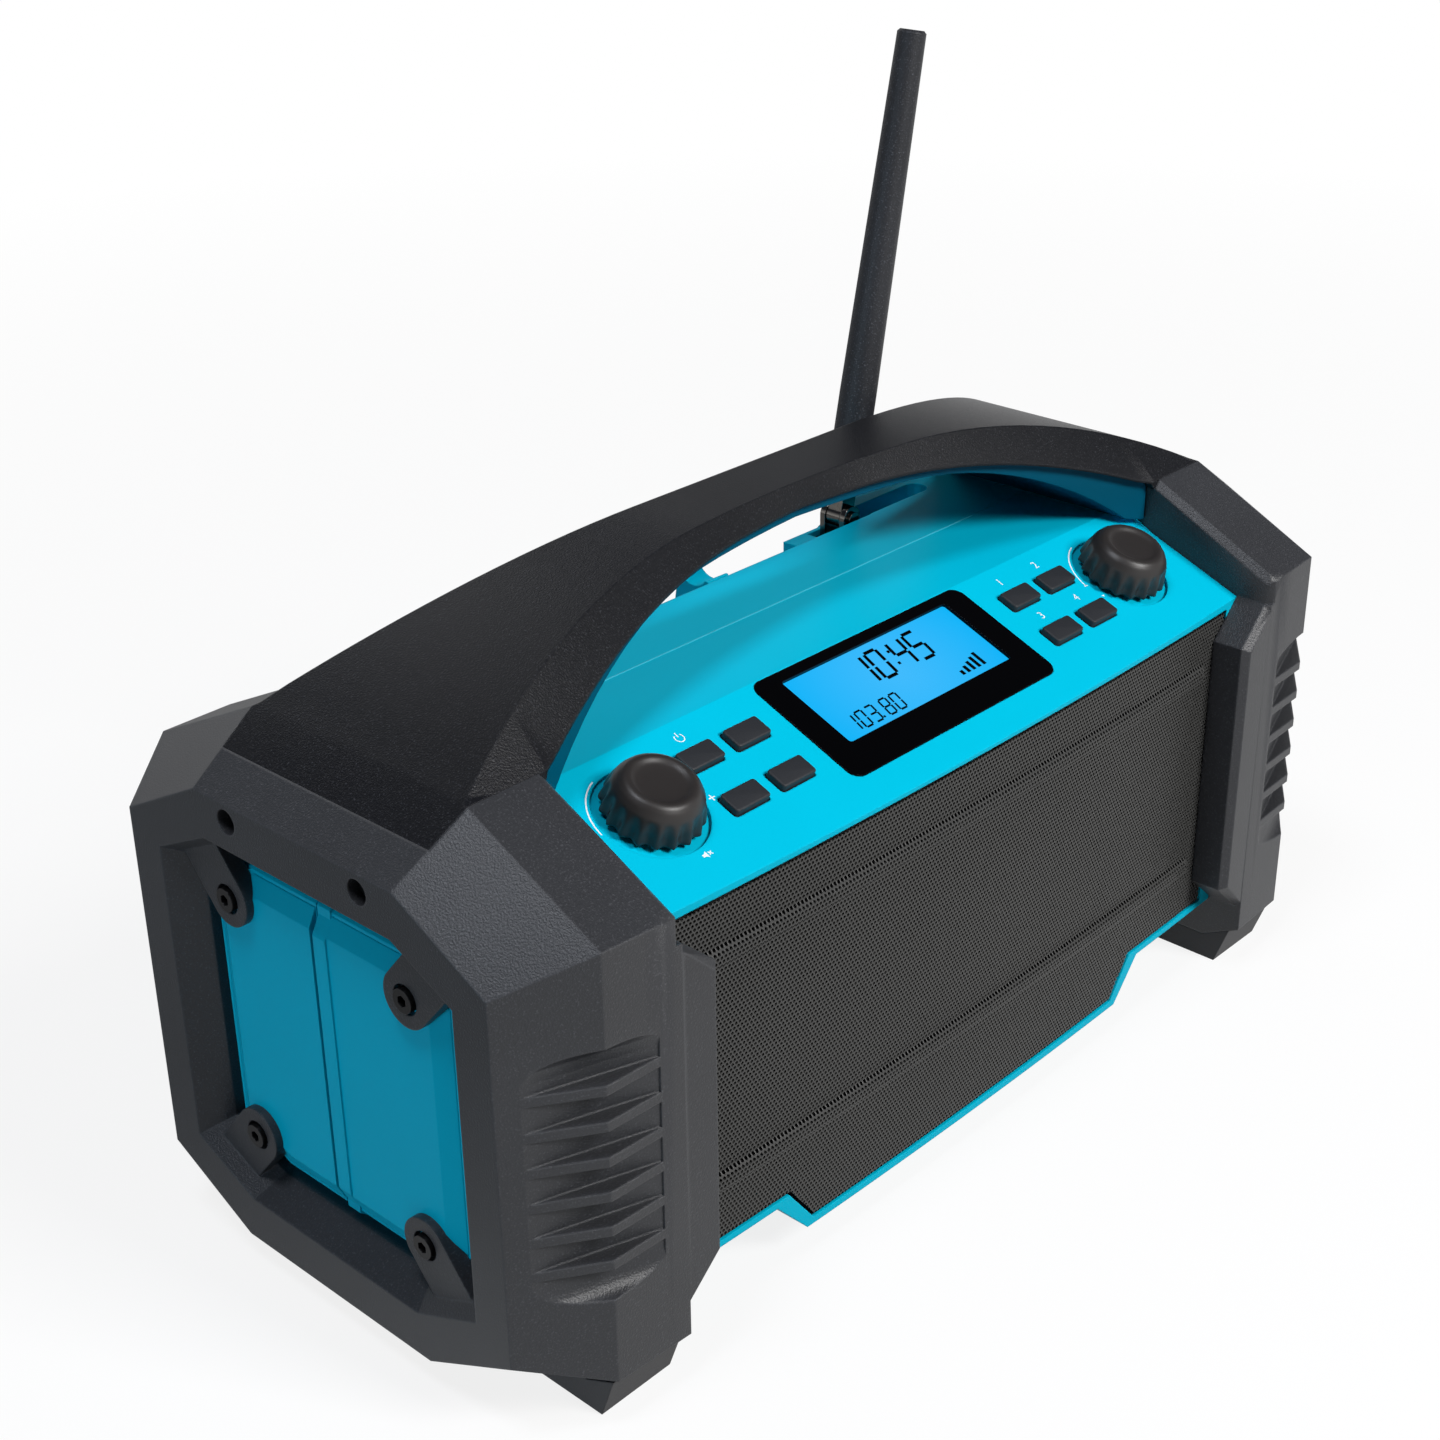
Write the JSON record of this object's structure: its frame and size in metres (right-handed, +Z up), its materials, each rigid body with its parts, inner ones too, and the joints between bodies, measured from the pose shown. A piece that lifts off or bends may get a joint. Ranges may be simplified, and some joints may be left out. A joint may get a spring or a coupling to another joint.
{
  "type": "jobsite radio",
  "caption": "Rugged portable radio with moulded end bumpers, an arched carry handle, a sloped console with knobs, keys and display, and a folding whip antenna",
  "frame": {"origin": "on the floor under the middle of the part", "axes": "+X along the width to the right end, +Y to the back, +Z up; the speakers and the console face -Y"},
  "size_m": [0.36, 0.1739, 0.2995],
  "materials": {
    "shell_teal": "fine satin grain, turquoise",
    "cover_black": "fine sparkle grain, near black",
    "bumper_grey": "fine satin grain, dark grey",
    "foot_rubber": "matt",
    "screw_black": "blackened",
    "screw_steel": "zinc plated",
    "grille_metal": "perforated sheet, matt dark coat",
    "basket_steel": "stamped",
    "cone_paper": "pressed paper",
    "lens_black": "clear window with a printed black border",
    "display_blue": "backlit blue",
    "board_green": "solder mask",
    "switch_black": "moulded",
    "encoder_steel": "turned",
    "knob_rubber": "matt, fluted",
    "key_rubber": "matt",
    "fork_nickel": "nickel plated",
    "antenna_rubber": "satin",
    "latch_black": "moulded",
    "cell_steel": "plain jacket",
    "cover_rubber": "soft flap"
  },
  "bodies": {
    "radio": {"front_shell": "shell_teal", "rear_shell": "shell_teal", "handle_cover": "cover_black", "left_bumper": "bumper_grey", "right_bumper": "bumper_grey", "foot_front_left": "foot_rubber", "foot_front_right": "foot_rubber", "foot_rear_left": "foot_rubber", "foot_rear_right": "foot_rubber", "end_screws": "screw_black", "guard_screws": "screw_black", "shell_screws": "screw_steel", "grille": "grille_metal", "speaker_left": "basket_steel", "speaker_right": "basket_steel", "cone_left": "cone_paper", "cone_right": "cone_paper", "speaker_screws": "screw_steel", "display_lens": "lens_black", "display_module": "display_blue", "control_board": "board_green", "control_screws": "screw_steel", "key_switches": "switch_black", "encoder_bodies": "encoder_steel", "main_board": "board_green", "board_screws": "screw_steel", "antenna_fork": "fork_nickel", "antenna_pin": "fork_nickel", "battery_tray": "latch_black", "cells": "cell_steel", "port_panel": "latch_black", "dc_inlet": "fork_nickel", "dc_pin": "fork_nickel", "aux_jack": "switch_black", "usb_port": "fork_nickel"},
    "button_power": {"button_power": "key_rubber"},
    "button_mode": {"button_mode": "key_rubber"},
    "button_menu": {"button_menu": "key_rubber"},
    "button_eq": {"button_eq": "key_rubber"},
    "button_1": {"button_1": "key_rubber"},
    "button_2": {"button_2": "key_rubber"},
    "button_3": {"button_3": "key_rubber"},
    "button_4": {"button_4": "key_rubber"},
    "volume_turn": {"volume_rotor": "switch_black"},
    "volume_cap": {"volume_shaft": "encoder_steel", "volume_knob": "knob_rubber"},
    "tune_turn": {"tune_rotor": "switch_black"},
    "tune_cap": {"tune_shaft": "encoder_steel", "tune_knob": "knob_rubber"},
    "antenna": {"antenna_knuckle": "fork_nickel", "antenna_sleeve": "antenna_rubber"},
    "door": {"battery_door": "shell_teal"},
    "latch": {"battery_latch": "latch_black"},
    "port_flap": {"port_cover": "cover_rubber"}
  },
  "joints": [
    {"name": "button_power_press", "type": "slide", "parent": "radio", "child": "button_power", "axis": [0, 0.3697, -0.9291], "range_m": [0, 0.001], "stiffness_N_per_m": 500, "springref_m": -0.0005},
    {"name": "button_mode_press", "type": "slide", "parent": "radio", "child": "button_mode", "axis": [0, 0.3697, -0.9291], "range_m": [0, 0.001], "stiffness_N_per_m": 500, "springref_m": -0.0005},
    {"name": "button_menu_press", "type": "slide", "parent": "radio", "child": "button_menu", "axis": [0, 0.3697, -0.9291], "range_m": [0, 0.001], "stiffness_N_per_m": 500, "springref_m": -0.0005},
    {"name": "button_eq_press", "type": "slide", "parent": "radio", "child": "button_eq", "axis": [0, 0.3697, -0.9291], "range_m": [0, 0.001], "stiffness_N_per_m": 500, "springref_m": -0.0005},
    {"name": "button_1_press", "type": "slide", "parent": "radio", "child": "button_1", "axis": [0, 0.3697, -0.9291], "range_m": [0, 0.001], "stiffness_N_per_m": 500, "springref_m": -0.0005},
    {"name": "button_2_press", "type": "slide", "parent": "radio", "child": "button_2", "axis": [0, 0.3697, -0.9291], "range_m": [0, 0.001], "stiffness_N_per_m": 500, "springref_m": -0.0005},
    {"name": "button_3_press", "type": "slide", "parent": "radio", "child": "button_3", "axis": [0, 0.3697, -0.9291], "range_m": [0, 0.001], "stiffness_N_per_m": 500, "springref_m": -0.0005},
    {"name": "button_4_press", "type": "slide", "parent": "radio", "child": "button_4", "axis": [0, 0.3697, -0.9291], "range_m": [0, 0.001], "stiffness_N_per_m": 500, "springref_m": -0.0005},
    {"name": "volume_turn_spin", "type": "hinge", "parent": "radio", "child": "volume_turn", "pos_m": [-0.1042, -0.04865, 0.143], "axis": [0, -0.3697, 0.9291], "continuous": true},
    {"name": "volume_cap_press", "type": "slide", "parent": "volume_turn", "child": "volume_cap", "axis": [0, 0.3697, -0.9291], "range_m": [0, 0.0008], "stiffness_N_per_m": 900, "springref_m": -0.0008},
    {"name": "tune_turn_spin", "type": "hinge", "parent": "radio", "child": "tune_turn", "pos_m": [0.1042, -0.04865, 0.143], "axis": [0, -0.3697, 0.9291], "continuous": true},
    {"name": "tune_cap_press", "type": "slide", "parent": "tune_turn", "child": "tune_cap", "axis": [0, 0.3697, -0.9291], "range_m": [0, 0.0008], "stiffness_N_per_m": 900, "springref_m": -0.0008},
    {"name": "antenna_fold", "type": "hinge", "parent": "radio", "child": "antenna", "pos_m": [0.0689, 0.0355, 0.151], "axis": [0, 1, 0], "range_deg": [-99, 15]},
    {"name": "door_hinge", "type": "hinge", "parent": "radio", "child": "door", "pos_m": [0, 0.0747, 0.0271], "axis": [-1, 0, 0], "range_deg": [0, 90]},
    {"name": "latch_slide", "type": "slide", "parent": "door", "child": "latch", "axis": [0, 0, 1], "range_m": [0, 0.0024]},
    {"name": "port_hinge", "type": "hinge", "parent": "radio", "child": "port_flap", "pos_m": [0.096, 0.0748, 0.0576], "axis": [-1, 0, 0], "range_deg": [0, 90]}
  ]
}
